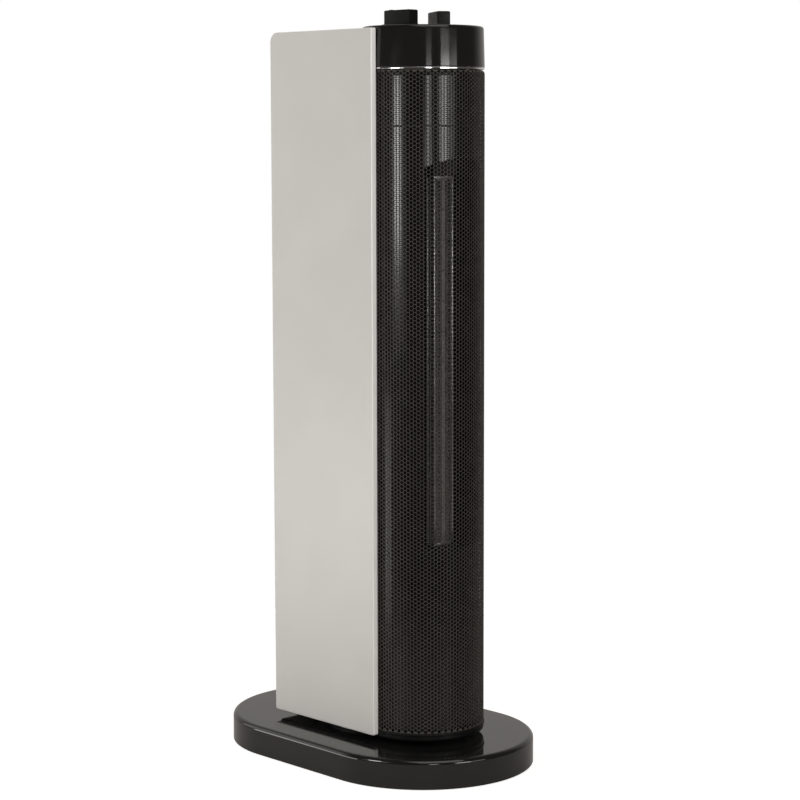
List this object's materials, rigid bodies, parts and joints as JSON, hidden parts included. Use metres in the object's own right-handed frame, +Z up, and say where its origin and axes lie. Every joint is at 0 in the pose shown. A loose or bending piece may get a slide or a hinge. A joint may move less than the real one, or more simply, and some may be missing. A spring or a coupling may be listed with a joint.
{
  "type": "tower heater",
  "caption": "Swinging fan heater tower: half-round black mesh front between flat grey side plates, two bar knobs on top, on a gloss black stadium-shaped foot",
  "frame": {"origin": "on the floor, under the middle of the foot, on the axis about which the tower swings", "axes": "+Z up, -Y the front with the round mesh, +X to the right of someone who looks along +Y"},
  "size_m": [0.183, 0.287, 0.6143],
  "materials": {
    "gloss_black": "gloss",
    "satin_black": "satin",
    "panel_grey": "satin",
    "mesh_black": "satin",
    "chrome": "polished",
    "zinc_steel": "satin",
    "dark_steel": "satin",
    "aluminium": "satin",
    "ceramic": "matte",
    "heat_plastic": "matte",
    "white_plastic": "satin",
    "rubber": "matte",
    "copper": "satin",
    "grey_foam": "matte"
  },
  "bodies": {
    "foot": {"foot_cover": "gloss_black", "foot_sole": "satin_black", "ballast_plate": "dark_steel", "rubber_pad_1": "rubber", "rubber_pad_2": "rubber", "rubber_pad_3": "rubber", "rubber_pad_4": "rubber", "foot_screw_1": "zinc_steel", "foot_screw_2": "zinc_steel", "foot_screw_3": "zinc_steel", "foot_screw_4": "zinc_steel", "tip_switch": "satin_black", "cord_inlet": "rubber", "foot_lead": "rubber", "bearing_ring": "satin_black"},
    "plunger": {"tip_plunger": "white_plastic"},
    "crank": {"swing_crank": "white_plastic"},
    "blower_wheel": {"impeller": "satin_black", "fan_rotor": "dark_steel"},
    "function_dial": {"function_knob": "satin_black", "function_spindle": "white_plastic"},
    "thermostat_dial": {"thermostat_knob": "satin_black", "thermostat_spindle": "white_plastic"},
    "tower": {"bottom_tray": "satin_black", "control_head": "gloss_black", "cutoff_wall": "satin_black", "dust_screen": "grey_foam", "element_frame": "aluminium", "fan_coil": "copper", "fan_deck_lower": "heat_plastic", "fan_deck_upper": "heat_plastic", "fan_stator": "dark_steel", "fin_bank_left": "aluminium", "fin_bank_right": "aluminium", "front_mesh": "mesh_black", "function_switch": "heat_plastic", "holder_lower": "heat_plastic", "holder_upper": "heat_plastic", "inner_shell": "gloss_black", "intake_grille": "satin_black", "motor_bracket": "zinc_steel", "neck_screw_1": "zinc_steel", "neck_screw_2": "zinc_steel", "neck_screw_3": "zinc_steel", "rear_housing": "satin_black", "rear_screw_1": "zinc_steel", "rear_screw_2": "zinc_steel", "retaining_ring": "zinc_steel", "scroll_wall": "satin_black", "side_plate_left": "panel_grey", "side_plate_right": "panel_grey", "stone_bar": "ceramic", "swing_motor": "dark_steel", "thermal_cutout": "white_plastic", "thermostat": "heat_plastic", "top_bearing": "white_plastic", "top_deck": "satin_black", "tower_lead": "rubber", "trim_ring": "chrome"}
  },
  "joints": [
    {"name": "tower_swing", "type": "hinge", "parent": "foot", "child": "tower", "pos_m": [0, 0, 0.0243], "axis": [0, 0, 1], "range_deg": [-30, 30]},
    {"name": "crank_turn", "type": "hinge", "parent": "tower", "child": "crank", "pos_m": [0, -0.014, 0.0243], "axis": [0, 0, 1], "range_deg": [-105, 105]},
    {"name": "fan_spin", "type": "hinge", "parent": "tower", "child": "blower_wheel", "pos_m": [0, 0.022, 0.157], "axis": [0, 0, 1], "continuous": true},
    {"name": "function_turn", "type": "hinge", "parent": "tower", "child": "function_dial", "pos_m": [-0.021, -0.05, 0.601], "axis": [0, 0, 1], "range_deg": [-225, 0]},
    {"name": "thermostat_turn", "type": "hinge", "parent": "tower", "child": "thermostat_dial", "pos_m": [0.021, -0.05, 0.601], "axis": [0, 0, 1], "range_deg": [-92, 148]},
    {"name": "tip_travel", "type": "slide", "parent": "foot", "child": "plunger", "axis": [0, 0, -1], "range_m": [0, 0.004], "stiffness_N_per_m": 100, "springref_m": 0.004}
  ],
  "couplings": [
    {"joint": "crank_turn", "follows": "tower_swing", "ratio": -3.4}
  ]
}
